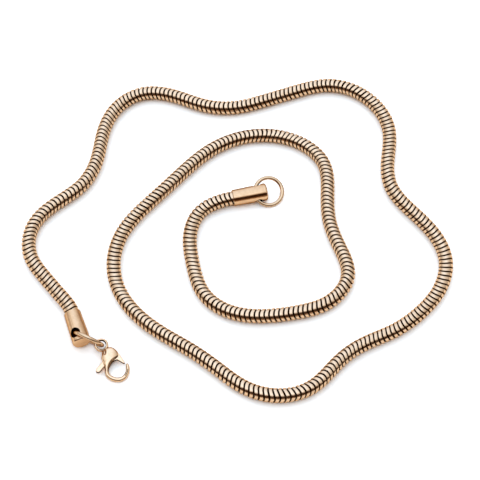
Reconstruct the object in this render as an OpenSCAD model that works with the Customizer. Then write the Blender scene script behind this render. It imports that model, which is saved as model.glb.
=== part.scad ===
// Round snake chain necklace, lying open in an inward spiral, with a tubular end cap
// on each end, two jump rings and a lobster clasp. Millimetres, Z up, resting on Z = 0.

/* [Chain] */
// Outer diameter of the snake chain
chain_d = 4; // [3:0.1:4.6]
// Length over which the chain climbs from the table to an end cap
rise_l = 16; // [10:1:22]
// Depth that the chain reaches into an end cap
chain_inset = 4.6; // [3:0.1:5]

/* [End caps] */
// Wall of an end cap at its mouth
cap_wall = 0.25; // [0.25:0.05:0.6]
// Growth of a cap's radius from its mouth to its closed end
cap_taper = 0.2; // [0:0.05:0.3]
// Clearance between the chain and the bore of its cap
chain_gap = 0.05; // [0.05:0.01:0.15]
// Clearance behind the end of the chain in its bore
bore_end_gap = 0.4; // [0.2:0.1:0.8]
// Overall length of an end cap
cap_l = 9.85; // [9.2:0.05:13]
// Distance from the closed end to the axis of the cross hole
cross_setback = 2.6; // [2.2:0.05:2.9]
// Radius of the rounded edges of a cap
cap_edge = 0.35; // [0.1:0.05:0.4]
// Rounding of an end cap's closed end
cap_end_edge = 0.6; // [0.2:0.05:0.8]
// Upward tilt of the cap that stands on the clasp's jump ring, in degrees
clasp_cap_tilt = 3; // [0:0.5:4]
// Lean of the cross hole of the clasp's cap from the vertical, in degrees
clasp_cap_roll = -27; // [-35:0.5:-15]
// Lean of the cross hole of the other cap from the vertical, in degrees
ring_cap_roll = 66; // [55:1:75]

/* [Jump rings] */
// Wire diameter of a jump ring
wire_d = 1.1; // [0.8:0.05:1.2]
// Mean diameter of a jump ring
ring_d = 7.9; // [7:0.1:9]
// Clearance of the wire in the cross hole
cross_gap = 0.36; // [0.1:0.02:0.4]
// How far the end ring is pushed in past the middle of its hole's clearance
end_ring_push = 0.2; // [0:0.05:0.25]
// Turn of the clasp's jump ring about the cross hole, in degrees
clasp_ring_swing = 41; // [35:1:50]

/* [Clasp] */
// From the centre of the eye to the far end of the hook
clasp_l = 11.5; // [10.5:0.1:14]
// Width over the body and the hook
clasp_w = 6.95; // [6:0.05:8]
// Thickness of the body at its fullest
clasp_t = 3.05; // [2.8:0.05:3.6]
// Clearance of the wire in the clasp's eye
eye_gap = 0.6; // [0.4:0.05:0.7]
// Thickness of the eye's own round section
eye_section = 0.6; // [0.5:0.05:0.8]
// Height of the clasp eye's ring
eye_height = 1.2; // [0.6:0.05:1.4]
// Place of the eye on its jump ring, in degrees below the ring's far side
eye_place = 55; // [50:1:60]
// Direction of the clasp on the table, in degrees
clasp_heading = -68; // [-74:1:-62]

/* [Lever] */
// Thickness of the lever's plate
lever_t = 1; // [0.8:0.05:1.3]
// Clearance on each side of the lever in its slot
lever_gap = 0.1; // [0.05:0.05:0.2]
// Opening angle of the lever
lever_open = 26; // [15:1:28]
// Diameter of the rivet pin
pin_d = 0.8; // [0.6:0.05:1]
// Metal round the pin in the lever's hub
hub_wall = 0.45; // [0.3:0.05:0.5]
// Running clearance between the pin and the lever's bore
pin_run = 0.05; // [0.02:0.01:0.08]
// Fit clearance between the pin and the bores of the body
pin_fit = 0.02; // [0.01:0.01:0.05]
// Metal left over each end of the pin
pin_cover = 0.3; // [0.2:0.05:0.5]

/* [Hidden] */
$fn = 48;

gold = [0.85, 0.68, 0.5];
pale_gold = [0.93, 0.78, 0.6];
deep_gold = [0.72, 0.54, 0.38];

// Route of the chain from the mouth of the clasp's cap to the mouth of the other cap, chosen by
// hand along the photographed curve. A smooth spline runs close by these points.
route = [
    [-45.65, -23.45], [-46.5, -21], [-49.6, -17.4], [-53.8, -12], [-59.6, -5], [-59.2, 5.4],
    [-52.4, 12.2], [-44.6, 17.4], [-40.8, 26.4], [-40.4, 35.8], [-37.4, 45], [-29.4, 51.4],
    [-19.4, 49.8], [-11.2, 45.4], [-1.8, 44.4], [7.2, 47.6], [15.8, 50.6], [25, 54],
    [34.2, 52], [41.6, 45], [44.4, 36], [42.4, 26.8], [42.2, 17], [48.4, 9.6],
    [54.6, 2.8], [58.2, -6.2], [55.6, -15.8], [49.4, -23], [42, -28.8], [33.2, -32],
    [26, -37.4], [20.2, -45.6], [10.6, -48.4], [1.2, -46], [-6, -39.6], [-13.2, -34],
    [-21.2, -29.4], [-28.6, -23.6], [-34, -15.8], [-35.8, -6.4], [-33.4, 3], [-27.6, 10.4],
    [-21.2, 17], [-15.2, 24], [-8.6, 30.6], [-0.2, 34.8], [9.2, 35.8], [18.4, 33],
    [25.4, 25.8], [25, 15.8], [24.6, 6.6], [27.6, -2], [31.6, -11.4], [25.2, -20.4],
    [16, -22.8], [7, -24.2], [-2.6, -23.6], [-10.8, -17.8], [-13, -8.4], [-14.8, 1],
    [-12.2, 9.6], [-5.8, 12.8], [-2, 13.6]
];
route_steps = 2;   // tube sections for each point of the route
tube_sides = 12;

chain_r = chain_d / 2;
bore_r = chain_r + chain_gap;
cap_r = bore_r + cap_wall;
cap_end_r = cap_r + cap_taper;
cap_rim = min(cap_edge, 0.8 * cap_wall);
// Tilt of a cap that lies on its side
rest_tilt = atan(cap_taper / (cap_l - cap_rim - cap_end_edge));
bore_depth = chain_inset + bore_end_gap;
wire_r = wire_d / 2;
ring_r = ring_d / 2;

// A jump ring bends inside the cross hole, so the hole is wider than the wire by the ring's bow.
bow_out = ring_r + wire_r;
bow_in = sqrt(pow(ring_r - wire_r, 2) - pow(cap_end_r, 2));
cross_r = (bow_out - bow_in) / 2 + cross_gap;
ring_reach = (bow_out + bow_in) / 2;
end_ring_reach = ring_reach - end_ring_push;
hole_place = cap_l - cross_setback;

function unit(v) = v / norm(v);

// Cubic B-spline through the route's span i at share t, with the end points doubled outwards.
function route_point(i) =
    i < 0 ? 2 * route[0] - route[1]
    : i >= len(route) ? 2 * route[len(route) - 1] - route[len(route) - 2]
    : route[i];
function spline(i, t) =
    (pow(1 - t, 3) * route_point(i - 1)
     + (3 * pow(t, 3) - 6 * t * t + 4) * route_point(i)
     + (-3 * pow(t, 3) + 3 * t * t + 3 * t + 1) * route_point(i + 1)
     + pow(t, 3) * route_point(i + 2)) / 6;
flat_line = [for (i = [0:len(route) - 2], k = [0:route_steps - 1]) spline(i, k / route_steps),
             route[len(route) - 1]];
last = len(flat_line) - 1;

clasp_cap_dir = unit(route[0] - route[1]);
ring_cap_dir = unit(route[len(route) - 1] - route[len(route) - 2]);

// Axes of a cap: along it towards its closed end, its left side, its top, its cross hole's axis
// and the direction square to both the hole and the cap.
function cap_along(dir, tilt) = [dir.x * cos(tilt), dir.y * cos(tilt), sin(tilt)];
function cap_left(dir) = [-dir.y, dir.x, 0];
function cap_hole(dir, tilt, roll) =
    cos(roll) * cross(cap_along(dir, tilt), cap_left(dir)) + sin(roll) * cap_left(dir);
function ring_out(along, hole, swing) = cos(swing) * along + sin(swing) * cross(hole, along);

// Height of a jump ring's hole point above the table when the ring stands on the table.
function standing_height(along, hole, swing, reach) =
    let (out = ring_out(along, hole, swing), flat = cross(hole, out).z)
    wire_r + ring_r * sqrt(1 - flat * flat) - reach * out.z;

// Swing at which the ring of a level cap comes down to the table, found by halving.
function resting_swing(along, hole, height, low, high, rounds) =
    rounds == 0 ? (low + high) / 2
    : let (mid = (low + high) / 2)
      standing_height(along, hole, mid, end_ring_reach) > height
      ? resting_swing(along, hole, height, low, mid, rounds - 1)
      : resting_swing(along, hole, height, mid, high, rounds - 1);

clasp_along = cap_along(clasp_cap_dir, clasp_cap_tilt);
clasp_hole = cap_hole(clasp_cap_dir, clasp_cap_tilt, clasp_cap_roll);
clasp_out = ring_out(clasp_along, clasp_hole, clasp_ring_swing);
clasp_hole_z = max(standing_height(clasp_along, clasp_hole, clasp_ring_swing, ring_reach),
                   cap_end_r + hole_place * sin(clasp_cap_tilt));
clasp_mouth = [route[0].x, route[0].y, clasp_hole_z - hole_place * sin(clasp_cap_tilt)];
clasp_hole_point = clasp_mouth + hole_place * clasp_along;

ring_along = cap_along(ring_cap_dir, rest_tilt);
ring_hole = cap_hole(ring_cap_dir, rest_tilt, ring_cap_roll);
ring_mouth = [route[len(route) - 1].x, route[len(route) - 1].y,
              cap_r * cos(rest_tilt) - cap_rim * sin(rest_tilt)];
ring_swing = resting_swing(ring_along, ring_hole, ring_mouth.z + hole_place * sin(rest_tilt),
                           -30, 45, 30);
ring_out_dir = ring_out(ring_along, ring_hole, ring_swing);
ring_hole_point = ring_mouth + hole_place * ring_along;

// Height of the chain's centre at the distance s from a mouth, eased down to the table.
function climb(rise, tilt, s) =
    s >= rise_l ? chain_r
    : let (t = s / rise_l)
      chain_r + rise * (2 * pow(t, 3) - 3 * t * t + 1)
      - tan(tilt) * rise_l * (pow(t, 3) - 2 * t * t + t);
function path_length(i) = i == 0 ? 0 : path_length(i - 1) + norm(flat_line[i] - flat_line[i - 1]);
lengths = [for (i = [0:last]) path_length(i)];
line = [
    clasp_mouth + chain_inset * clasp_along,
    for (i = [0:last])
        [flat_line[i].x, flat_line[i].y,
         max(climb(clasp_mouth.z - chain_r, clasp_cap_tilt, lengths[i]),
             climb(ring_mouth.z - chain_r, rest_tilt, lengths[last] - lengths[i]))],
    ring_mouth + chain_inset * ring_along
];

// Faces that skin sections of the same number of points, closed at both ends.
function skin_faces(count, sides) = concat(
    [[for (k = [sides - 1:-1:0]) k]],
    [for (i = [0:count - 2], k = [0:sides - 1])
        [i * sides + k, i * sides + (k + 1) % sides,
         (i + 1) * sides + (k + 1) % sides, (i + 1) * sides + k]],
    [[for (k = [0:sides - 1]) (count - 1) * sides + k]]
);

function line_dir(i) = unit(line[min(i + 1, len(line) - 1)] - line[max(i - 1, 0)]);
tube_points = [
    for (i = [0:len(line) - 1])
        let (along = line_dir(i), side = unit([along.y, -along.x, 0]), up = cross(side, along))
        for (k = [0:tube_sides - 1])
            line[i] + chain_r * (cos(360 * k / tube_sides) * side + sin(360 * k / tube_sides) * up)
];

// The origin lies under the middle of the box that the chain fills.
low_x = min([for (p = tube_points) p.x]);
high_x = max([for (p = tube_points) p.x]);
low_y = min([for (p = tube_points) p.y]);
high_y = max([for (p = tube_points) p.y]);
middle = [(low_x + high_x) / 2, (low_y + high_y) / 2, 0];

// Moves children from local axes x, y, z at a point of the route's frame to the part's frame.
module place(point, x, y, z) {
    p = point - middle;
    multmatrix([[x.x, y.x, z.x, p.x], [x.y, y.y, z.y, p.y], [x.z, y.z, z.z, p.z], [0, 0, 0, 1]])
        children();
}

// Clasp axes, from the eye: along to the hook, across to the gate's side, and up through it.
eye_hole_r = wire_r + eye_gap;
eye_r = eye_hole_r + eye_section / 2;
eye_point = clasp_hole_point
    + (ring_reach + ring_r * cos(eye_place)) * clasp_out - ring_r * sin(eye_place) * clasp_hole;

// Sections of the clasp's body and hook: the place along, as a share of the way from the eye's
// ring to the far end of the hook, the place across and the half width as shares of clasp_w, the
// half thickness as a share of clasp_t, and the heading of the section in degrees.
along = 0;
across = 1;
half_width = 2;
half_thick = 3;
turn = 4;
clasp_sections = [
    [-0.017, 0.137, 0.108, 0.118, 0],
    [0.003, 0.148, 0.163, 0.203, 0],
    [0.027, 0.155, 0.204, 0.295, 0],
    [0.075, 0.167, 0.253, 0.387, 0],
    [0.144, 0.164, 0.306, 0.459, 0],
    [0.214, 0.157, 0.341, 0.492, 0],
    [0.274, 0.148, 0.347, 0.5, 0],
    [0.323, 0.132, 0.327, 0.495, 0],
    [0.356, 0.083, 0.281, 0.485, 0],
    [0.388, 0.02, 0.22, 0.469, 0],
    [0.428, -0.032, 0.168, 0.443, 0],
    [0.478, -0.076, 0.125, 0.4, 0],
    [0.532, -0.119, 0.089, 0.354, 0],
    [0.592, -0.155, 0.072, 0.308, -4],
    [0.652, -0.183, 0.078, 0.272, -6],
    [0.716, -0.178, 0.082, 0.249, 12],
    [0.791, -0.124, 0.085, 0.236, 35],
    [0.861, -0.029, 0.086, 0.23, 50],
    [0.91, 0.081, 0.088, 0.223, 66],
    [0.937, 0.216, 0.091, 0.216, 84],
    [0.927, 0.345, 0.086, 0.21, 102],
    [0.883, 0.466, 0.081, 0.203, 122],
    [0.806, 0.57, 0.073, 0.197, 144],
    [0.721, 0.629, 0.069, 0.19, 160],
    [0.657, 0.65, 0.066, 0.18, 172],
    [0.614, 0.656, 0.06, 0.167, 179],
    [0.59, 0.658, 0.046, 0.131, 181],
    [0.58, 0.658, 0.022, 0.066, 182]
];
section_steps = 2;
section_sides = 20;
section_fullness = 0.85;   // 1 is an ellipse, less is fuller

// Point on the clasp from its shares along and across, as in the sections.
function clasp_point(share, side) = [eye_r + share * (clasp_l - eye_r), side * clasp_w];

hook_end = clasp_sections[19];
clasp_tilt = asin((eye_point.z - hook_end[half_thick] * clasp_t) / clasp_point(hook_end[along], 0).x);
clasp_x = [cos(clasp_heading) * cos(clasp_tilt), sin(clasp_heading) * cos(clasp_tilt), -sin(clasp_tilt)];
clasp_y = [-sin(clasp_heading), cos(clasp_heading), 0];
clasp_z = cross(clasp_x, clasp_y);

function full(v) = sign(v) * pow(abs(v), section_fullness);
function row(i) = clasp_sections[max(0, min(len(clasp_sections) - 1, i))];
function between(i, t) =
    (2 * row(i) + (row(i + 1) - row(i - 1)) * t
     + (2 * row(i - 1) - 5 * row(i) + 4 * row(i + 1) - row(i + 2)) * t * t
     + (3 * row(i) - row(i - 1) - 3 * row(i + 1) + row(i + 2)) * pow(t, 3)) / 2;
clasp_rows = [for (i = [0:len(clasp_sections) - 2], k = [0:section_steps - 1])
                  between(i, k / section_steps),
              clasp_sections[len(clasp_sections) - 1]];
clasp_points = [
    for (r = clasp_rows, k = [0:section_sides - 1])
        let (a = 360 * k / section_sides, out = -full(cos(a)) * r[half_width] * clasp_w,
             at = clasp_point(r[along], r[across]) + out * [-sin(r[turn]), cos(r[turn])])
        [at.x, at.y, full(sin(a)) * r[half_thick] * clasp_t]
];

// Lever: a plate whose two arms reach from its hub to the gate's tip and to the thumb tab.
hub = clasp_point(0.313, 0.05);
gate_root = clasp_point(0.343, 0.424);
gate_tip = clasp_point(0.545, 0.568);
tab_root = clasp_point(0.393, -0.216);
tab_tip = clasp_point(0.493, -0.46);
hub_r = pin_d / 2 + hub_wall;
gate_root_r = 0.12 * clasp_w;
gate_tip_r = 0.032 * clasp_w;
tab_root_r = 0.105 * clasp_w;
tab_tip_r = 0.086 * clasp_w;
pin_half = clasp_sections[7][half_thick] * clasp_t - pin_cover;
slot_t = lever_t + 2 * lever_gap;
slot_steps = 5;
arc_steps = 8;

// Outline of an arm: the lines that touch two round ends, and the ends themselves.
function arm_outline(a, a_r, b, b_r) =
    let (d = b - a, facing = atan2(d.y, d.x), spread = acos((a_r - b_r) / norm(d)))
    concat(
        [for (k = [0:arc_steps])
            let (t = facing + spread + (360 - 2 * spread) * k / arc_steps) a + a_r * [cos(t), sin(t)]],
        [for (k = [0:arc_steps])
            let (t = facing - spread + 2 * spread * k / arc_steps) b + b_r * [cos(t), sin(t)]]);

module chain() {
    color(gold) translate(-middle)
        polyhedron(tube_points, skin_faces(len(line), tube_sides), convexity = 10);
}

// End cap along X from its mouth, with its cross hole along Z.
module end_cap_shape() {
    arc = [0, 22.5, 45, 67.5, 90];
    difference() {
        rotate([0, 90, 0]) rotate_extrude() polygon(concat(
            [[0, 0]],
            [for (a = arc) [cap_r - cap_rim * (1 - sin(a)), cap_rim * (1 - cos(a))]],
            [for (a = arc) [cap_end_r - cap_end_edge * (1 - cos(a)), cap_l - cap_end_edge * (1 - sin(a))]],
            [[0, cap_l]]));
        rotate([0, 90, 0]) translate([0, 0, -1]) cylinder(r = bore_r, h = bore_depth + 1);
        translate([hole_place, 0, 0]) cylinder(r = cross_r, h = 4 * cap_end_r, center = true);
    }
}

module end_cap_clasp() {
    color(gold) place(clasp_mouth, clasp_along, cross(clasp_hole, clasp_along), clasp_hole)
        end_cap_shape();
}

module end_cap_ring() {
    color(gold) place(ring_mouth, ring_along, cross(ring_hole, ring_along), ring_hole)
        end_cap_shape();
}

module jump_ring() {
    rotate_extrude() translate([ring_r, 0]) circle(r = wire_r);
}

module jump_ring_clasp() {
    color(deep_gold)
        place(clasp_hole_point + ring_reach * clasp_out,
              clasp_out, clasp_hole, cross(clasp_out, clasp_hole))
            jump_ring();
}

module jump_ring_end() {
    color(deep_gold)
        place(ring_hole_point + end_ring_reach * ring_out_dir,
              ring_out_dir, ring_hole, cross(ring_out_dir, ring_hole))
            jump_ring();
}

module clasp_place() {
    place(eye_point, clasp_x, clasp_y, clasp_z) children();
}

module arm(a, a_r, b, b_r) {
    polygon(arm_outline(a, a_r, b, b_r));
}

// Outline of the lever, grown on every side.
module lever_outline(grow) {
    arm(hub, hub_r + grow, gate_root, gate_root_r + grow);
    arm(gate_root, gate_root_r + grow, gate_tip, gate_tip_r + grow);
    arm(hub, hub_r + grow, tab_root, tab_root_r + grow);
    arm(tab_root, tab_root_r + grow, tab_tip, tab_tip_r + grow);
}

module clasp_body() {
    color(pale_gold) clasp_place() difference() {
        union() {
            polyhedron(clasp_points, skin_faces(len(clasp_rows), section_sides), convexity = 6);
            rotate_extrude() polygon([for (a = [0:22.5:337.5])
                [eye_r + eye_section / 2 * cos(a), eye_height / 2 * sin(a)]]);
        }
        // The slot is as wide as the lever needs from rest to its open stop.
        translate([0, 0, -slot_t / 2]) linear_extrude(slot_t)
            for (k = [0:slot_steps])
                translate(hub) rotate(-lever_open * k / slot_steps) translate(-hub)
                    lever_outline(lever_gap);
        translate([hub.x, hub.y, -pin_half]) cylinder(r = pin_d / 2 + pin_fit, h = 2 * pin_half);
    }
}

module clasp_lever() {
    color(pale_gold) clasp_place() difference() {
        translate([0, 0, -lever_t / 2]) linear_extrude(lever_t) lever_outline(0);
        translate([hub.x, hub.y, -lever_t]) cylinder(r = pin_d / 2 + pin_run, h = 2 * lever_t);
    }
}

module clasp_pin() {
    color(deep_gold) clasp_place()
        translate([hub.x, hub.y, -pin_half + pin_fit]) cylinder(d = pin_d, h = 2 * (pin_half - pin_fit));
}

chain();
end_cap_clasp();
end_cap_ring();
jump_ring_clasp();
jump_ring_end();
clasp_body();
clasp_lever();
clasp_pin();
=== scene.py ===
# Round snake chain necklace, lying open in an inward spiral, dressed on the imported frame.
# Pieces are modelled in millimetres and brought to the frame's metres when they are finished.
import bisect
import math
import random

import bmesh
import bpy
from mathutils import Matrix, Vector


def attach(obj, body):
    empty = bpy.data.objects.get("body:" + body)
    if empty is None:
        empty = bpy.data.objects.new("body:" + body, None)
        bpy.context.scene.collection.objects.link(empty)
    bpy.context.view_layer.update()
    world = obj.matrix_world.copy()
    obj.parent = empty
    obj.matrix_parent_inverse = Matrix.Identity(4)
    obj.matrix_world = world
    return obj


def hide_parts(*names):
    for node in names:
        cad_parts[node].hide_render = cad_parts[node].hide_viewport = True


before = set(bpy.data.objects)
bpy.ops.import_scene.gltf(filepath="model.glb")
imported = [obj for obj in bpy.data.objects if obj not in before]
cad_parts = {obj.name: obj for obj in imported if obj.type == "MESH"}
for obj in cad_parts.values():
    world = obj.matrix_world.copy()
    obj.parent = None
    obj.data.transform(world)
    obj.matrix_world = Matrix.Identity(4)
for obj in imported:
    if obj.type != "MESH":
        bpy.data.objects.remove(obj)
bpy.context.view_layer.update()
mm = 0.001
zAxis = Vector((0, 0, 1))
print("frame loaded")


# Camera, at the photograph's angle
camera = {
    "elevation": 60,
    "distance": 429.5,
    "aim": (0.99, -2.78, 2),
    "lens": 115,
    "sensorWidth": 36,
    "clipStart": 0.01,
}


def makeCamera():
    data = bpy.data.cameras.new("photoCamera")
    data.lens = camera["lens"]
    data.sensor_width = camera["sensorWidth"]
    data.clip_start = camera["clipStart"]
    turn = Matrix.Rotation(math.radians(90 - camera["elevation"]), 4, "X")
    away = turn @ Vector((0, 0, camera["distance"]))
    eye = bpy.data.objects.new("photoCamera", data)
    eye.matrix_world = Matrix.Translation((Vector(camera["aim"]) + away) * mm) @ turn
    bpy.context.scene.collection.objects.link(eye)
    bpy.context.scene.camera = eye


makeCamera()
print("camera placed")


# Route of the chain, the same points as in the part's source, seen from its own middle
route = {
    "middle": (-0.9857, 2.7816),
    "points": [
        (-45.65, -23.45), (-46.5, -21), (-49.6, -17.4), (-53.8, -12), (-59.6, -5), (-59.2, 5.4),
        (-52.4, 12.2), (-44.6, 17.4), (-40.8, 26.4), (-40.4, 35.8), (-37.4, 45), (-29.4, 51.4),
        (-19.4, 49.8), (-11.2, 45.4), (-1.8, 44.4), (7.2, 47.6), (15.8, 50.6), (25, 54),
        (34.2, 52), (41.6, 45), (44.4, 36), (42.4, 26.8), (42.2, 17), (48.4, 9.6), (54.6, 2.8),
        (58.2, -6.2), (55.6, -15.8), (49.4, -23), (42, -28.8), (33.2, -32), (26, -37.4),
        (20.2, -45.6), (10.6, -48.4), (1.2, -46), (-6, -39.6), (-13.2, -34), (-21.2, -29.4),
        (-28.6, -23.6), (-34, -15.8), (-35.8, -6.4), (-33.4, 3), (-27.6, 10.4), (-21.2, 17),
        (-15.2, 24), (-8.6, 30.6), (-0.2, 34.8), (9.2, 35.8), (18.4, 33), (25.4, 25.8),
        (25, 15.8), (24.6, 6.6), (27.6, -2), (31.6, -11.4), (25.2, -20.4), (16, -22.8),
        (7, -24.2), (-2.6, -23.6), (-10.8, -17.8), (-13, -8.4), (-14.8, 1), (-12.2, 9.6),
        (-5.8, 12.8), (-2, 13.6)],
    "stepsPerSpan": 9,
    "chainRadius": 2.0,
    "riseLength": 16.0,  # the chain climbs over this length to each end cap
    "inset": 4.6,  # and reaches this far into it
    "claspEnd": {"height": 2.7825, "tilt": 3.0, "roll": -27},
    "ringEnd": {"height": 2.295, "tilt": 1.266, "roll": 66},
}


def routePoint(index):  # past either end the route goes straight on
    points = route["points"]
    if index < 0:
        return 2 * Vector(points[0]) - Vector(points[1])
    if index >= len(points):
        return 2 * Vector(points[-1]) - Vector(points[-2])
    return Vector(points[index])


def splinePoint(index, share):  # on a smooth curve that passes near the points
    rest = 1 - share
    return (rest ** 3 * routePoint(index - 1)
            + (3 * share ** 3 - 6 * share ** 2 + 4) * routePoint(index)
            + (3 * rest ** 3 - 6 * rest ** 2 + 4) * routePoint(index + 1)
            + share ** 3 * routePoint(index + 2)) / 6


def climb(end, along):  # height of the chain's axis, which ends in line with the cap
    if along >= route["riseLength"]:
        return route["chainRadius"]
    share = along / route["riseLength"]
    lift = (end["height"] - route["chainRadius"]) * (2 * share ** 3 - 3 * share ** 2 + 1)
    slope = math.tan(math.radians(end["tilt"])) * route["riseLength"]
    return route["chainRadius"] + lift - slope * (share ** 3 - 2 * share ** 2 + share)


def capAxes(end, flatDirection):
    tilt = math.radians(end["tilt"])
    roll = math.radians(end["roll"])
    level = flatDirection.normalized()
    along = Vector((*(level * math.cos(tilt)), math.sin(tilt)))
    left = Vector((-level.y, level.x, 0))
    hole = math.cos(roll) * along.cross(left) + math.sin(roll) * left
    return along, hole


def layRoute():
    steps = route["stepsPerSpan"]
    spans = len(route["points"]) - 1
    flat = [splinePoint(span, step / steps) for span in range(spans) for step in range(steps)]
    flat.append(splinePoint(spans - 1, 1))
    lengths = [0]
    for before, after in zip(flat, flat[1:]):
        lengths.append(lengths[-1] + (after - before).length)
    middle = Vector(route["middle"])
    line = []
    for point, along in zip(flat, lengths):
        height = max(climb(route["claspEnd"], along), climb(route["ringEnd"], lengths[-1] - along))
        line.append((point - middle).to_3d() + zAxis * height)
    claspAxes = capAxes(route["claspEnd"], routePoint(0) - routePoint(1))
    ringAxes = capAxes(route["ringEnd"], routePoint(spans) - routePoint(spans - 1))
    ends = {"clasp": (line[0], *claspAxes), "ring": (line[-1], *ringAxes)}
    line.insert(0, line[0] + claspAxes[0] * route["inset"])
    line.append(line[-1] + ringAxes[0] * route["inset"])
    return line, ends


class ChainPath:
    def __init__(self, line):
        self.line = line
        self.lengths = [0]
        for before, after in zip(line, line[1:]):
            self.lengths.append(self.lengths[-1] + (after - before).length)
        last = len(line) - 1
        self.headings = [(line[min(i + 1, last)] - line[max(i - 1, 0)]).normalized()
                         for i in range(last + 1)]

    def frameAt(self, along):
        index = bisect.bisect_right(self.lengths, along) - 1
        index = max(0, min(len(self.line) - 2, index))
        step = self.lengths[index + 1] - self.lengths[index]
        share = (along - self.lengths[index]) / step
        centre = self.line[index].lerp(self.line[index + 1], share)
        heading = self.headings[index].lerp(self.headings[index + 1], max(0, min(1, share)))
        heading.normalize()
        side = heading.cross(zAxis).normalized()
        return centre, heading, side, side.cross(heading)


chainLine, mouths = layRoute()
path = ChainPath(chainLine)
print("route laid, chain length", round(path.lengths[-1], 1), "mm")


# Metal: one shader group for the fine unevenness that all the finishes share
unevenness = {
    "cloudDetail": 3,
    "cloudSpread": (0.35, 0.7),  # noise at which the metal is clean, and at its most tarnished
    "grainDetail": 2,
    "grainScale": 9000,
    "grainDepth": 0.00002,  # in metres
}


def makeSockets(group, direction, kinds):
    for name, kind in kinds.items():
        group.interface.new_socket(name, in_out=direction, socket_type=kind)


def colorMixer(nodes, blend="MIX"):
    mixer = nodes.new("ShaderNodeMix")
    mixer.data_type = "RGBA"
    mixer.blend_type = blend
    return mixer


def makeUnevenGroup():
    group = bpy.data.node_groups.new("metalUnevenness", "ShaderNodeTree")
    makeSockets(group, "INPUT", {
        "Metal Color": "NodeSocketColor", "Tarnish Color": "NodeSocketColor",
        "Tarnish": "NodeSocketFloat", "Roughness": "NodeSocketFloat",
        "Roughness Change": "NodeSocketFloat", "Scale": "NodeSocketFloat"})
    makeSockets(group, "OUTPUT", {
        "Color": "NodeSocketColor", "Roughness": "NodeSocketFloat", "Height": "NodeSocketFloat"})
    nodes = group.nodes
    links = group.links
    into = nodes.new("NodeGroupInput")
    out = nodes.new("NodeGroupOutput")
    place = nodes.new("ShaderNodeTexCoord")
    cloud = nodes.new("ShaderNodeTexNoise")
    cloud.inputs["Detail"].default_value = unevenness["cloudDetail"]
    links.new(place.outputs["Object"], cloud.inputs["Vector"])
    links.new(into.outputs["Scale"], cloud.inputs["Scale"])
    grain = nodes.new("ShaderNodeTexNoise")
    grain.inputs["Scale"].default_value = unevenness["grainScale"]
    grain.inputs["Detail"].default_value = unevenness["grainDetail"]
    links.new(place.outputs["Object"], grain.inputs["Vector"])
    spread = nodes.new("ShaderNodeMapRange")
    low, high = unevenness["cloudSpread"]
    spread.inputs["From Min"].default_value = low
    spread.inputs["From Max"].default_value = high
    links.new(cloud.outputs["Fac"], spread.inputs["Value"])
    amount = nodes.new("ShaderNodeMath")
    amount.operation = "MULTIPLY"
    links.new(spread.outputs["Result"], amount.inputs[0])
    links.new(into.outputs["Tarnish"], amount.inputs[1])
    tint = colorMixer(nodes)
    links.new(amount.outputs["Value"], tint.inputs["Factor"])
    links.new(into.outputs["Metal Color"], tint.inputs["A"])
    links.new(into.outputs["Tarnish Color"], tint.inputs["B"])
    rough = nodes.new("ShaderNodeMath")
    rough.operation = "MULTIPLY_ADD"
    links.new(spread.outputs["Result"], rough.inputs[0])
    links.new(into.outputs["Roughness Change"], rough.inputs[1])
    links.new(into.outputs["Roughness"], rough.inputs[2])
    links.new(tint.outputs["Result"], out.inputs["Color"])
    links.new(rough.outputs["Value"], out.inputs["Roughness"])
    links.new(grain.outputs["Fac"], out.inputs["Height"])
    return group


unevenGroup = makeUnevenGroup()


# painted shade: darkens and roughens the metal where the piece's shade attribute is set, between
# the chain's rings, inside the caps' bores and holes and in the clasp's hollows
def paintShade(tree, finish, color, roughness):
    nodes = tree.nodes
    links = tree.links
    depth = nodes.new("ShaderNodeAttribute")
    depth.attribute_name = "paintedShade"
    paintedShade = nodes.new("ShaderNodeMapRange")
    paintedShade.interpolation_type = "SMOOTHSTEP"
    low, high = finish["paintedShadeEdge"]
    paintedShade.inputs["From Min"].default_value = low
    paintedShade.inputs["From Max"].default_value = high
    links.new(depth.outputs["Fac"], paintedShade.inputs["Value"])
    dark = colorMixer(nodes)
    links.new(paintedShade.outputs["Result"], dark.inputs["Factor"])
    links.new(color, dark.inputs["A"])
    dark.inputs["B"].default_value = finish["paintedShadeColor"]
    dull = nodes.new("ShaderNodeMath")
    dull.operation = "MULTIPLY_ADD"
    links.new(paintedShade.outputs["Result"], dull.inputs[0])
    dull.inputs[1].default_value = finish["paintedShadeRoughness"]
    links.new(roughness, dull.inputs[2])
    return dark.outputs["Result"], dull.outputs["Value"]


def addTurnedMarks(tree, finish, shader):
    tangent = tree.nodes.new("ShaderNodeTangent")
    tangent.direction_type = "UV_MAP"
    tangent.uv_map = "around"
    tree.links.new(tangent.outputs["Tangent"], shader.inputs["Tangent"])
    shader.inputs["Anisotropic"].default_value = finish["turned"]
    shader.inputs["Anisotropic Rotation"].default_value = finish["turnedAngle"]


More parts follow.
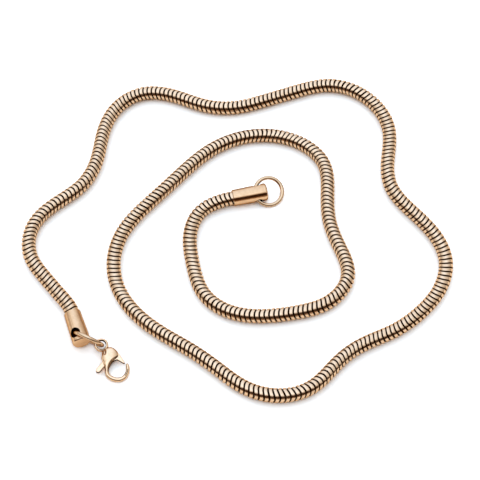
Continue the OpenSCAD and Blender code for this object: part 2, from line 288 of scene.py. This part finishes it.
def makeMetal(name, finish):
    material = bpy.data.materials.new(name)
    material.use_nodes = True
    tree = material.node_tree
    shader = tree.nodes["Principled BSDF"]
    shader.inputs["Metallic"].default_value = 1
    shader.inputs["Specular Tint"].default_value = finish["edgeTint"]
    uneven = tree.nodes.new("ShaderNodeGroup")
    uneven.node_tree = unevenGroup
    uneven.inputs["Metal Color"].default_value = finish["color"]
    uneven.inputs["Tarnish Color"].default_value = finish["tarnishColor"]
    uneven.inputs["Tarnish"].default_value = finish["tarnish"]
    uneven.inputs["Roughness"].default_value = finish["roughness"]
    uneven.inputs["Roughness Change"].default_value = finish["roughnessChange"]
    uneven.inputs["Scale"].default_value = finish["scale"]
    color = uneven.outputs["Color"]
    roughness = uneven.outputs["Roughness"]
    if "paintedShadeColor" in finish:
        color, roughness = paintShade(tree, finish, color, roughness)
    tree.links.new(color, shader.inputs["Base Color"])
    tree.links.new(roughness, shader.inputs["Roughness"])
    if "turned" in finish:
        addTurnedMarks(tree, finish, shader)
    bump = tree.nodes.new("ShaderNodeBump")
    bump.inputs["Strength"].default_value = finish["grain"]
    bump.inputs["Distance"].default_value = unevenness["grainDepth"]
    tree.links.new(uneven.outputs["Height"], bump.inputs["Height"])
    tree.links.new(bump.outputs["Normal"], shader.inputs["Normal"])
    return material


finishes = {
    "chainGold": {
        "color": (0.93, 0.68, 0.48, 1), "tarnishColor": (0.62, 0.36, 0.2, 1), "tarnish": 0.35,
        "edgeTint": (0.95, 0.74, 0.54, 1), "roughness": 0.1, "roughnessChange": 0.06,
        "scale": 900, "grain": 0.1,
        # the dark colour below is painted shade for the grooves between the rings
        "paintedShadeColor": (0.09, 0.03, 0.004, 1), "paintedShadeEdge": (-0.03, 0.08), "paintedShadeRoughness": 0.4},
    "capGold": {
        "color": (0.72, 0.47, 0.29, 1), "tarnishColor": (0.5, 0.29, 0.16, 1), "tarnish": 0.3,
        "edgeTint": (0.4, 0.24, 0.14, 1), "roughness": 0.17, "roughnessChange": 0.05,
        "scale": 700, "grain": 0.1, "turned": 0.9, "turnedAngle": 0.25,
        # the dark colour below is painted shade inside the bore and the hole
        "paintedShadeColor": (0.05, 0.025, 0.01, 1), "paintedShadeEdge": (0.2, 0.8), "paintedShadeRoughness": 0.2},
    "ringGold": {
        "color": (0.7, 0.5, 0.34, 1), "tarnishColor": (0.6, 0.37, 0.2, 1), "tarnish": 0.3,
        "edgeTint": (0.2, 0.1, 0.05, 1), "roughness": 0.1, "roughnessChange": 0.08,
        "scale": 800, "grain": 0.12},
    "claspGold": {
        "color": (0.84, 0.6, 0.41, 1), "tarnishColor": (0.62, 0.36, 0.2, 1), "tarnish": 0.25,
        "edgeTint": (0.25, 0.13, 0.07, 1), "roughness": 0.07, "roughnessChange": 0.05,
        "scale": 800, "grain": 0.12,
        # the dark colour below is painted shade in the clasp's slots, eye and crook and on the
        # lever's sides
        "paintedShadeColor": (0.05, 0.025, 0.01, 1), "paintedShadeEdge": (0.2, 0.8), "paintedShadeRoughness": 0.2},
}
metals = {name: makeMetal(name, finish) for name, finish in finishes.items()}
print("metals mixed")


# Objects
def linked(name, mesh):
    thing = bpy.data.objects.new(name, mesh)
    bpy.context.scene.collection.objects.link(thing)
    return thing


def toObject(name, bm):
    mesh = bpy.data.meshes.new(name)
    bm.to_mesh(mesh)
    bm.free()
    return linked(name, mesh)


def toBmesh(mesh):
    bm = bmesh.new()
    bm.from_mesh(mesh)
    bpy.data.meshes.remove(mesh)
    return bm


def drillObject(place, radius, sides, depth):
    bm = bmesh.new()
    bmesh.ops.create_cone(bm, cap_ends=True, segments=sides, radius1=radius, radius2=radius,
                          depth=depth, matrix=Matrix.Translation((*place, 0)))
    return toObject("drill", bm)


def combined(base, others, operation):
    for other in others:
        step = base.modifiers.new(other.name, "BOOLEAN")
        step.operation = operation
        step.object = other
        step.solver = "EXACT"
    graph = bpy.context.evaluated_depsgraph_get()
    mesh = bpy.data.meshes.new_from_object(base.evaluated_get(graph))
    for used in [base] + others:
        bpy.data.objects.remove(used)
    return mesh


def finishPiece(name, bm, metal, replaced, sharpAngle, body="necklace"):
    bmesh.ops.scale(bm, verts=bm.verts, vec=(mm, mm, mm))
    for face in bm.faces:
        face.smooth = True
    piece = toObject(name, bm)
    piece.data.materials.append(metals[metal])
    piece.data.set_sharp_from_angle(angle=math.radians(sharpAngle))
    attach(piece, body)
    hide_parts(*replaced)


def placed(point, xAxis, zDirection):
    yAxis = zDirection.cross(xAxis)
    matrix = Matrix((xAxis, yAxis, zDirection)).transposed().to_4x4()
    matrix.translation = point
    return matrix


# Chain: the rings stand side by side, each one a wavy band with a groove to its neighbour
chain = {
    "pitch": 1.31,
    "segments": 16,
    # half of a band from its crown to the bottom of the groove, as (share of half a pitch, radius)
    "profile": [(0.0, 2.0), (0.62, 1.955), (1.0, 1.5)],
    "wave": 0.4,  # how far a ring's edge weaves along the chain
    "wavesAround": 2,
    # turn of the wave along the chain, as (share of the length, degrees)
    "waveTurns": [
        (0, 45), (0.0525, 40), (0.0771, -40), (0.107, -120), (0.131, -110), (0.156, -200),
        (0.185, -255), (0.244, -200), (0.269, -235), (0.289, -95), (0.333, -20),
        (0.382, -45), (0.421, -80), (0.441, -120), (0.461, -180), (0.48, -255),
        (0.52, -400), (0.579, -450), (0.598, -465), (0.618, -600), (0.657, -645),
        (0.677, -750), (0.697, -795), (0.736, -780), (0.756, -900), (0.795, -930),
        (0.834, -945), (0.854, -900), (0.913, -825), (0.933, -885), (0.952, -975),
        (1, -990)],
    "lean": 0.02,  # how far single rings lean at random
    "leaning": 0.95,  # share of half a pitch that leans, so that the groove's bottom stays shut
    "weld": 0.01,
    "sharpAngle": 45,
    "seed": 7,
}


def waveTurn(share):
    turns = chain["waveTurns"]
    for (low, before), (high, after) in zip(turns, turns[1:]):
        if share <= high:
            return math.radians(before + (after - before) * (share - low) / (high - low))
    return math.radians(turns[-1][1])


def ringTemplate(halfPitch):
    bm = bmesh.new()
    outer = [(share * halfPitch, radius) for share, radius in chain["profile"]]
    row = [(-along, radius) for along, radius in reversed(outer)] + outer[1:]
    verts = [bm.verts.new((along, radius, 0)) for along, radius in row]
    edges = [bm.edges.new(pair) for pair in zip(verts, verts[1:])]
    bmesh.ops.spin(bm, geom=verts + edges, cent=(0, 0, 0), axis=(1, 0, 0), dvec=(0, 0, 0),
                   angle=math.tau, steps=chain["segments"], use_merge=True, use_duplicate=False)
    bmesh.ops.recalc_face_normals(bm, faces=bm.faces)
    mesh = bpy.data.meshes.new("ringTemplate")
    bm.to_mesh(mesh)
    bm.free()
    return mesh


def makeChain():
    total = path.lengths[-1]
    count = round(total / chain["pitch"])
    pitch = total / count
    template = ringTemplate(pitch / 2)
    chance = random.Random(chain["seed"])
    bottom = chain["profile"][-1][1]
    edge = chain["profile"][-2][1]
    bm = bmesh.new()
    paintedShade = bm.verts.layers.float.new("paintedShade")
    for ring in range(count):
        first = len(bm.verts)
        bm.from_mesh(template)
        bm.verts.ensure_lookup_table()
        centreAlong = (ring + 0.5) * pitch
        turn = waveTurn(centreAlong / total)
        lean = chain["lean"] * chance.uniform(-1, 1)
        leanTurn = chance.uniform(0, math.tau)
        for vert in bm.verts[first:]:
            angle = math.atan2(vert.co.z, vert.co.y)
            radius = math.hypot(vert.co.z, vert.co.y)
            wave = chain["wave"] * math.sin(chain["wavesAround"] * angle + turn)
            along = centreAlong + vert.co.x + wave
            if abs(vert.co.x) < chain["leaning"] * pitch / 2:
                along += lean * math.cos(angle - leanTurn)
            centre, heading, side, up = path.frameAt(along)
            vert.co = centre + radius * (math.cos(angle) * side + math.sin(angle) * up)
            # painted shade, rising from the band's edge to the bottom of the groove between rings
            vert[paintedShade] = max(0, min(1, (edge - radius) / (edge - bottom)))
    bmesh.ops.remove_doubles(bm, verts=bm.verts, dist=chain["weld"])
    bmesh.ops.holes_fill(bm, edges=[e for e in bm.edges if e.is_boundary])
    bmesh.ops.recalc_face_normals(bm, faces=bm.faces)
    finishPiece("chain_rings", bm, "chainGold", ["chain"], chain["sharpAngle"])
    print("chain:", count, "rings")


makeChain()


# End caps: tapered tubes with a cross hole near the closed end, all measures along the axis
cap = {
    "length": 9.85,
    "mouthRadius": 2.3,
    "endRadius": 2.5,
    "boreRadius": 2.05,
    "boreDepth": 5.0,
    "mouthEdge": 0.2,
    "endEdge": 0.6,
    "edgeSteps": 5,
    "sides": 72,
    "holePlace": 7.25,
    "holeRadius": 1.458,
    "holeSides": 48,
    "holeEdge": 0.06,
    "holeEdgeSteps": 2,
    "drillDepth": 8,
    "weld": 0.0005,
    "rimTolerance": 0.02,
    "boreTolerance": 0.01,
    "skin": 0.1,  # the hole's wall gets painted shade below this depth
    "sharpAngle": 30,
}


def rimTurns():
    steps = cap["edgeSteps"]
    return [math.pi / 2 * step / steps for step in range(steps + 1)]


def capProfile():
    mouthEdge = cap["mouthEdge"]
    endEdge = cap["endEdge"]
    outer = [(mouthEdge * (1 - math.cos(turn)),
              cap["mouthRadius"] - mouthEdge * (1 - math.sin(turn))) for turn in rimTurns()]
    outer += [(cap["length"] - endEdge * (1 - math.sin(turn)),
               cap["endRadius"] - endEdge * (1 - math.cos(turn))) for turn in rimTurns()]
    bottom = cap["boreDepth"]
    bore = cap["boreRadius"]
    return [(bottom, 0), (bottom, bore), (0, bore)] + outer + [(cap["length"], 0)]


def isOnHoleRim(edge):
    ends = [(math.hypot(v.co.x - cap["holePlace"], v.co.y), math.hypot(v.co.y, v.co.z))
            for v in edge.verts]
    return all(abs(across - cap["holeRadius"]) < cap["rimTolerance"] and out > cap["mouthRadius"]
               for across, out in ends)


def isInsideCap(place):
    fromAxis = math.hypot(place.y, place.z)
    inBore = (place.x < cap["boreDepth"] + cap["boreTolerance"]
              and fromAxis < cap["boreRadius"] + cap["boreTolerance"])
    inHole = (math.hypot(place.x - cap["holePlace"], place.y) < cap["holeRadius"]
              and fromAxis < cap["mouthRadius"] - cap["skin"])
    return inBore or inHole


def makeCap(name, end, node):
    mouth, along, hole = end
    bm = bmesh.new()
    verts = [bm.verts.new((a, r, 0)) for a, r in capProfile()]
    edges = [bm.edges.new(pair) for pair in zip(verts, verts[1:])]
    bmesh.ops.spin(bm, geom=verts + edges, cent=(0, 0, 0), axis=(1, 0, 0), dvec=(0, 0, 0),
                   angle=math.tau, steps=cap["sides"], use_merge=True, use_duplicate=False)
    bmesh.ops.remove_doubles(bm, verts=bm.verts, dist=cap["weld"])
    bmesh.ops.recalc_face_normals(bm, faces=bm.faces)
    drill = drillObject((cap["holePlace"], 0), cap["holeRadius"], cap["holeSides"],
                        cap["drillDepth"])
    bm = toBmesh(combined(toObject(name, bm), [drill], "DIFFERENCE"))
    rim = [e for e in bm.edges if isOnHoleRim(e)]
    bmesh.ops.bevel(bm, geom=rim, offset=cap["holeEdge"], offset_type="OFFSET", affect="EDGES",
                    segments=cap["holeEdgeSteps"], profile=0.5, material=-1, clamp_overlap=True)
    paintedShade = bm.faces.layers.float.new("paintedShade")
    unwrapped = bm.loops.layers.uv.new("around")
    for face in bm.faces:
        # painted shade inside the bore and on the hole's wall
        place = face.calc_center_median()
        face[paintedShade] = 1.0 if isInsideCap(place) else 0.0
        middle = math.atan2(place.z, place.y)
        for loop in face.loops:
            turn = math.atan2(loop.vert.co.z, loop.vert.co.y)
            turn = middle + (turn - middle + math.pi) % math.tau - math.pi
            loop[unwrapped].uv = (turn / math.tau, loop.vert.co.x / cap["length"])
    bmesh.ops.transform(bm, verts=bm.verts, matrix=placed(mouth, along, hole))
    finishPiece(name, bm, "capGold", [node], cap["sharpAngle"])


makeCap("cap_at_clasp", mouths["clasp"], "end_cap_clasp")
makeCap("cap_at_ring", mouths["ring"], "end_cap_ring")
print("end caps turned")


# Jump rings, bent from round wire and closed
jump = {
    "radius": 3.95,
    "wire": 0.55,
    "segments": 64,
    "sides": 16,
    "sharpAngle": 60,
    # reach is from the middle of the cap's hole to the middle of the ring
    "atClasp": {"reach": 3.402, "swing": 41},
    "atEnd": {"reach": 3.202, "swing": 6.6},
}


def ringPlace(end, hang):
    mouth, along, hole = end
    turn = math.radians(hang["swing"])
    out = math.cos(turn) * along + math.sin(turn) * hole.cross(along)
    return mouth + cap["holePlace"] * along + hang["reach"] * out, out, hole


def spunWire(radius, halfSizes, segments, sides):
    bm = bmesh.new()
    shape = Matrix.Diagonal((halfSizes[0], 1, halfSizes[1], 1))
    matrix = Matrix.Translation((radius, 0, 0)) @ shape @ Matrix.Rotation(math.pi / 2, 4, "X")
    bmesh.ops.create_circle(bm, cap_ends=False, segments=sides, radius=1, matrix=matrix)
    bmesh.ops.spin(bm, geom=bm.verts[:] + bm.edges[:], cent=(0, 0, 0), axis=(0, 0, 1),
                   dvec=(0, 0, 0), angle=math.tau, steps=segments, use_merge=True,
                   use_duplicate=False)
    bmesh.ops.recalc_face_normals(bm, faces=bm.faces)
    return bm


def makeRing(name, end, hang, node):
    middle, out, hole = ringPlace(end, hang)
    bm = spunWire(jump["radius"], (jump["wire"], jump["wire"]), jump["segments"], jump["sides"])
    bmesh.ops.transform(bm, verts=bm.verts, matrix=placed(middle, out, out.cross(hole)))
    finishPiece(name, bm, "ringGold", [node], jump["sharpAngle"])


makeRing("ring_at_clasp", mouths["clasp"], jump["atClasp"], "jump_ring_clasp")
makeRing("ring_at_end", mouths["ring"], jump["atEnd"], "jump_ring_end")
print("jump rings bent")


# Clasp: sections of the body and the hook as (along, across, half width, half thickness, heading)
clasp = {
    "heading": -68,
    "tilt": 8.1137,
    "eyePlace": 55,
    "eyeRadius": 1.53,
    "eyeWire": (0.38, 0.6),
    "eyeSegments": 48,
    "eyeSides": 14,
    "sections": [
        (1.28, 0.95, 0.75, 0.36, 0), (1.48, 1.03, 1.13, 0.62, 0), (1.72, 1.08, 1.42, 0.9, 0),
        (2.2, 1.16, 1.76, 1.18, 0), (2.9, 1.14, 2.13, 1.4, 0), (3.6, 1.09, 2.37, 1.5, 0),
        (4.2, 1.03, 2.41, 1.525, 0), (4.7, 0.92, 2.27, 1.51, 0), (5.03, 0.58, 1.95, 1.48, 0),
        (5.35, 0.14, 1.53, 1.43, 0), (5.75, -0.22, 1.17, 1.35, 0),
        (6.25, -0.53, 0.87, 1.22, 0), (6.8, -0.83, 0.62, 1.08, 0), (7.4, -1.08, 0.5, 0.94, -4),
        (8, -1.27, 0.54, 0.83, -6), (8.65, -1.24, 0.57, 0.76, 12),
        (9.4, -0.86, 0.59, 0.72, 35), (10.1, -0.2, 0.6, 0.7, 50), (10.6, 0.56, 0.61, 0.68, 66),
        (10.87, 1.5, 0.63, 0.66, 84), (10.77, 2.4, 0.6, 0.64, 102),
        (10.32, 3.24, 0.56, 0.62, 122), (9.55, 3.96, 0.51, 0.6, 144),
        (8.7, 4.37, 0.48, 0.58, 160), (8.05, 4.52, 0.46, 0.55, 172),
        (7.62, 4.56, 0.42, 0.51, 179), (7.38, 4.57, 0.32, 0.4, 181),
        (7.28, 4.57, 0.15, 0.2, 182)],
    "steps": 3,
    "sides": 32,
    "fullness": 0.78,  # 1 is an ellipse, less is fuller
    "roundBelow": (0.6, 1.2),  # half widths where a section is an ellipse, and is fullest
    "weld": 0.001,
    "sharpAngle": 45,
    "leverThickness": 1.0,
    "leverGap": 0.1,
    "leverOpen": 26,
    "leverEdge": 0.16,
    "leverEdgeSteps": 3,
    "endSteps": 12,
    "slotSteps": 5,
    "pinHole": 0.45,
    "pinSides": 32,
    "drillDepth": 4,
    # the lever's two arms, each round at both ends, as (place, radius); they meet at the hub
    "hub": ((4.596, 0.348), 0.85),
    "gate": [((4.597, 2.947), 0.834), ((6.928, 3.948), 0.222)],
    "tab": [((5.4, -1.501), 0.66), ((6.405, -3.197), 0.67)],
    # painted shade in the slots, inside the eye, in the crook and on the lever's sides: how dark it
    # is, and how its faces are told from others
    "slotPaintedShade": {"share": 1.0, "tolerance": 0.02, "facing": 0.98},
    "eyePaintedShade": {"share": 1.0, "inset": 0.4},
    "crookPaintedShade": {"share": 0.6, "along": (4.6, 7.8), "across": -1.2, "facing": 0.3, "level": 0.8},
    "leverPaintedShade": {"share": 0.75, "facing": 0.2, "level": 0.6},
}


def sectionBetween(index, share):  # on a smooth curve through all the sections
    rows = clasp["sections"]
    around = (max(0, min(len(rows) - 1, index + step)) for step in (-1, 0, 1, 2))
    before, here, after, later = (rows[place] for place in around)
    return [(2 * b + (c - a) * share + (2 * a - 5 * b + 4 * c - d) * share ** 2
             + (3 * b - a - 3 * c + d) * share ** 3) / 2
            for a, b, c, d in zip(before, here, after, later)]


def fuller(value, fullness):
    return math.copysign(abs(value) ** fullness, value)


def sectionPoint(row, order):
    along, across, halfWidth, halfThick, heading = row
    angle = math.tau * order / clasp["sides"]
    low, high = clasp["roundBelow"]
    roundShare = max(0, min(1, (high - halfWidth) / (high - low)))
    fullness = clasp["fullness"] + (1 - clasp["fullness"]) * roundShare
    out = -fuller(math.cos(angle), fullness) * halfWidth
    turn = math.radians(heading)
    return Vector((along - out * math.sin(turn), across + out * math.cos(turn),
                   fuller(math.sin(angle), fullness) * halfThick))


def loftedBody():
    rows = [sectionBetween(index, step / clasp["steps"])
            for index in range(len(clasp["sections"]) - 1) for step in range(clasp["steps"])]
    rows.append(clasp["sections"][-1])
    bm = bmesh.new()
    order = bm.verts.layers.int.new("order")
    bmesh.ops.create_circle(bm, cap_ends=False, segments=clasp["sides"], radius=1)
    for index, vert in enumerate(bm.verts):
        vert[order] = index
        vert.co = sectionPoint(rows[0], index)
    loop = bm.edges[:]
    for row in rows[1:]:
        grown = bmesh.ops.extrude_edge_only(bm, edges=loop)["geom"]
        fresh = {item for item in grown if isinstance(item, bmesh.types.BMVert)}
        for vert in fresh:
            vert.co = sectionPoint(row, vert[order])
        edges = [item for item in grown if isinstance(item, bmesh.types.BMEdge)]
        loop = [edge for edge in edges if set(edge.verts) <= fresh]
    bmesh.ops.holes_fill(bm, edges=[e for e in bm.edges if e.is_boundary])
    bmesh.ops.recalc_face_normals(bm, faces=bm.faces)
    bm.verts.layers.int.remove(order)
    return bm


def armOutline(start, end, grown, turn):  # round both ends, turned about the rivet
    (startPlace, startRadius), (endPlace, endRadius) = start, end
    way = Vector(endPlace) - Vector(startPlace)
    lean = math.acos((startRadius - endRadius) / way.length)
    steps = clasp["endSteps"]
    heading = math.atan2(way.y, way.x)
    hub = Vector(clasp["hub"][0])
    spin = Matrix.Rotation(math.radians(turn), 2)
    outline = []
    for place, radius, low, high in ((startPlace, startRadius, lean, math.tau - lean),
                                     (endPlace, endRadius, -lean, lean)):
        for step in range(steps + 1):
            angle = heading + low + (high - low) * step / steps
            point = Vector(place) + (radius + grown) * Vector((math.cos(angle), math.sin(angle)))
            outline.append(spin @ (point - hub) + hub)
    return outline


def leverArm(start, end):
    halfThick = clasp["leverThickness"] / 2
    bm = bmesh.new()
    outline = armOutline(start, end, 0, 0)
    base = bm.faces.new([bm.verts.new((*point, -halfThick)) for point in outline])
    raised = bmesh.ops.extrude_face_region(bm, geom=[base])["geom"]
    top = [item for item in raised if isinstance(item, bmesh.types.BMVert)]
    bmesh.ops.translate(bm, verts=top, vec=(0, 0, 2 * halfThick))
    rims = [e for e in bm.edges if abs(e.verts[0].co.z - e.verts[1].co.z) < clasp["weld"]]
    bmesh.ops.bevel(bm, geom=rims, offset=clasp["leverEdge"], offset_type="OFFSET", affect="EDGES",
                    segments=clasp["leverEdgeSteps"], profile=0.5, material=-1,
                    clamp_overlap=True)
    bmesh.ops.recalc_face_normals(bm, faces=bm.faces)
    return bm


def slotCutter(start, end, halfSlot):  # all the room that an arm needs as it opens
    bm = bmesh.new()
    steps = clasp["slotSteps"]
    for step in range(steps + 1):
        turn = -clasp["leverOpen"] * step / steps
        for point in armOutline(start, end, clasp["leverGap"], turn):
            for height in (-halfSlot, halfSlot):
                bm.verts.new((*point, height))
    hull = bmesh.ops.convex_hull(bm, input=bm.verts[:], use_existing_faces=False)
    inner = dict.fromkeys(hull["geom_interior"] + hull["geom_unused"])
    spare = [item for item in inner if isinstance(item, bmesh.types.BMVert)]
    bmesh.ops.delete(bm, geom=spare, context="VERTS")
    bmesh.ops.recalc_face_normals(bm, faces=bm.faces)
    return bm


def leverArms():
    return [(clasp["hub"], clasp["gate"][0]), tuple(clasp["gate"]),
            (clasp["hub"], clasp["tab"][0]), tuple(clasp["tab"])]


def claspMatrix():
    middle, out, hole = ringPlace(mouths["clasp"], jump["atClasp"])
    place = math.radians(clasp["eyePlace"])
    eye = middle + jump["radius"] * (math.cos(place) * out - math.sin(place) * hole)
    heading = math.radians(clasp["heading"])
    tilt = math.radians(clasp["tilt"])
    level = Vector((math.cos(heading), math.sin(heading), 0)) * math.cos(tilt)
    xAxis = level - zAxis * math.sin(tilt)
    yAxis = Vector((-math.sin(heading), math.cos(heading), 0))
    return placed(eye, xAxis, xAxis.cross(yAxis))


# painted shade on the slot's faces, the eye's inner rim and the wall between the body and the hook
def shellPaintedShade(place, normal, halfSlot):
    slot = clasp["slotPaintedShade"]
    if abs(abs(place.z) - halfSlot) < slot["tolerance"] and abs(normal.z) > slot["facing"]:
        return slot["share"]
    eye = clasp["eyePaintedShade"]
    if math.hypot(place.x, place.y) < clasp["eyeRadius"] - eye["inset"] * clasp["eyeWire"][0]:
        return eye["share"]
    crook = clasp["crookPaintedShade"]  # painted shade on the wall between the body and the hook
    low, high = crook["along"]
    isThere = low < place.x < high and place.y > crook["across"]
    isWall = normal.y > crook["facing"] and abs(normal.z) < crook["level"]
    return crook["share"] if isThere and isWall else 0.0


def makeShell(matrix):
    body = toObject("claspBody", loftedBody())
    wire = spunWire(clasp["eyeRadius"], clasp["eyeWire"], clasp["eyeSegments"], clasp["eyeSides"])
    joined = linked("claspJoined", combined(body, [toObject("claspEye", wire)], "UNION"))
    halfSlot = clasp["leverThickness"] / 2 + clasp["leverGap"]
    cutters = [toObject("slot", slotCutter(*arm, halfSlot)) for arm in leverArms()]
    bm = toBmesh(combined(joined, cutters, "DIFFERENCE"))
    bmesh.ops.remove_doubles(bm, verts=bm.verts, dist=clasp["weld"])
    bmesh.ops.dissolve_degenerate(bm, dist=clasp["weld"], edges=bm.edges)
    torn = [edge for edge in bm.edges if edge.is_boundary]
    bmesh.ops.holes_fill(bm, edges=torn, sides=0)
    paintedShade = bm.faces.layers.float.new("paintedShade")
    for face in bm.faces:
        face[paintedShade] = shellPaintedShade(face.calc_center_median(), face.normal, halfSlot)
    bmesh.ops.transform(bm, verts=bm.verts, matrix=matrix)
    finishPiece("clasp_shell", bm, "claspGold", ["clasp_body"],
                clasp["sharpAngle"])


def makeGate(matrix):
    arms = [toObject("leverArm", leverArm(*arm)) for arm in leverArms()]
    lever = linked("leverSolid", combined(arms[0], arms[1:], "UNION"))
    drill = drillObject(clasp["hub"][0], clasp["pinHole"], clasp["pinSides"], clasp["drillDepth"])
    bm = toBmesh(combined(lever, [drill], "DIFFERENCE"))
    paintedShade = bm.faces.layers.float.new("paintedShade")
    dark = clasp["leverPaintedShade"]
    for face in bm.faces:  # painted shade makes its sides that face along the clasp darker than its flat faces
        isShadedSide = abs(face.normal.z) < dark["level"] and face.normal.x > dark["facing"]
        face[paintedShade] = dark["share"] if isShadedSide else 0.0
    bmesh.ops.transform(bm, verts=bm.verts, matrix=matrix)
    finishPiece("clasp_gate", bm, "claspGold", ["clasp_lever"],
                clasp["sharpAngle"], "lever")


makeShell(claspMatrix())
makeGate(claspMatrix())
print("clasp cast")

# the rivet keeps the frame's own mesh, in the clasp's metal
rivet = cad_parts["clasp_pin"]
rivet.data.materials.clear()
rivet.data.materials.append(metals["claspGold"])


# Studio: a pale floor under a wide cool soft light whose near side is dark and warm
studio = {
    "floorSize": 3.0,
    "floorShown": (1.46, 1.42, 1.38, 1),  # a little overexposed, as in the photograph
    "floorMirrored": (1.28, 1.12, 0.92, 1),  # what the metal mirrors
    "backdrop": 0.95,
    "peak": 2.0,
    # colours of the surroundings from the far horizon over the top to the near horizon, as
    # (degrees from straight up, positive towards the camera, share of the peak)
    "arch": [(-90, (0.42, 0.42, 0.42)), (-70, (0.58, 0.64, 0.72)), (-48, (0.63, 0.75, 0.89)),
             (-5, (0.7, 0.83, 0.98)), (21, (0.76, 0.9, 1.05)), (32, (0.58, 0.6, 0.6)),
             (42, (0.08, 0.035, 0.012)), (47, (0.02, 0.008, 0.002)), (72, (0.03, 0.012, 0.004)),
             (82, (0.14, 0.08, 0.04)), (90, (0.45, 0.34, 0.24))],
    # how much of that reaches the sides, as (sine of the angle to the right, share)
    "sides": [(-1, (0.52, 0.43, 0.34)), (-0.75, (0.76, 0.68, 0.59)), (-0.5, (0.96, 0.92, 0.87)),
              (-0.2, (1, 1, 1)), (0.1, (0.98, 0.97, 0.96)), (0.35, (0.86, 0.81, 0.75)),
              (0.6, (0.68, 0.6, 0.51)), (1, (0.52, 0.43, 0.34))],
}


def rampThrough(nodes, stops, low, high):
    ramp = nodes.new("ShaderNodeValToRGB")
    ramp.color_ramp.interpolation = "EASE"
    points = ramp.color_ramp.elements
    while len(points) < len(stops):
        points.new(0.5)
    for index, (place, value) in enumerate(stops):
        points[index].position = (place - low) / (high - low)
        points[index].color = (*value, 1)
    return ramp


def makeFloor():
    bm = bmesh.new()
    bmesh.ops.create_grid(bm, x_segments=1, y_segments=1, size=studio["floorSize"] / 2)
    floor = toObject("floor", bm)
    paper = bpy.data.materials.new("floorPaper")
    paper.use_nodes = True
    nodes = paper.node_tree.nodes
    links = paper.node_tree.links
    nodes.clear()
    seen = nodes.new("ShaderNodeLightPath")
    shade = colorMixer(nodes)
    links.new(seen.outputs["Is Camera Ray"], shade.inputs["Factor"])
    shade.inputs["A"].default_value = studio["floorMirrored"]
    shade.inputs["B"].default_value = studio["floorShown"]
    shader = nodes.new("ShaderNodeBsdfDiffuse")
    links.new(shade.outputs["Result"], shader.inputs["Color"])
    out = nodes.new("ShaderNodeOutputMaterial")
    links.new(shader.outputs["BSDF"], out.inputs["Surface"])
    floor.data.materials.append(paper)


def makeSurroundings():
    world = bpy.data.worlds.new("softBox")
    bpy.context.scene.world = world
    world.use_nodes = True
    nodes = world.node_tree.nodes
    links = world.node_tree.links
    nodes.clear()
    place = nodes.new("ShaderNodeTexCoord")
    split = nodes.new("ShaderNodeSeparateXYZ")
    links.new(place.outputs["Generated"], split.inputs["Vector"])
    towards = nodes.new("ShaderNodeMath")
    towards.operation = "MULTIPLY"
    towards.inputs[1].default_value = -1
    links.new(split.outputs["Y"], towards.inputs[0])
    lean = nodes.new("ShaderNodeMath")
    lean.operation = "ARCTAN2"
    links.new(towards.outputs["Value"], lean.inputs[0])
    links.new(split.outputs["Z"], lean.inputs[1])
    spread = nodes.new("ShaderNodeMapRange")
    spread.inputs["From Min"].default_value = -math.pi / 2
    spread.inputs["From Max"].default_value = math.pi / 2
    links.new(lean.outputs["Value"], spread.inputs["Value"])
    arch = rampThrough(nodes, studio["arch"], -90, 90)
    links.new(spread.outputs["Result"], arch.inputs["Fac"])
    sideways = nodes.new("ShaderNodeMapRange")
    sideways.inputs["From Min"].default_value = -1
    links.new(split.outputs["X"], sideways.inputs["Value"])
    sides = rampThrough(nodes, studio["sides"], -1, 1)
    links.new(sideways.outputs["Result"], sides.inputs["Fac"])
    together = colorMixer(nodes, "MULTIPLY")
    together.inputs["Factor"].default_value = 1
    links.new(arch.outputs["Color"], together.inputs["A"])
    links.new(sides.outputs["Color"], together.inputs["B"])
    surroundings = nodes.new("ShaderNodeBackground")
    surroundings.inputs["Strength"].default_value = studio["peak"]
    links.new(together.outputs["Result"], surroundings.inputs["Color"])
    backdrop = nodes.new("ShaderNodeBackground")
    backdrop.inputs["Color"].default_value = (1, 1, 1, 1)
    backdrop.inputs["Strength"].default_value = studio["backdrop"]
    seen = nodes.new("ShaderNodeLightPath")
    choose = nodes.new("ShaderNodeMixShader")
    links.new(seen.outputs["Is Camera Ray"], choose.inputs["Fac"])
    links.new(surroundings.outputs["Background"], choose.inputs[1])
    links.new(backdrop.outputs["Background"], choose.inputs[2])
    out = nodes.new("ShaderNodeOutputWorld")
    links.new(choose.outputs["Shader"], out.inputs["Surface"])


makeFloor()
makeSurroundings()
bpy.context.scene.view_settings.view_transform = "Standard"
print("studio lit")
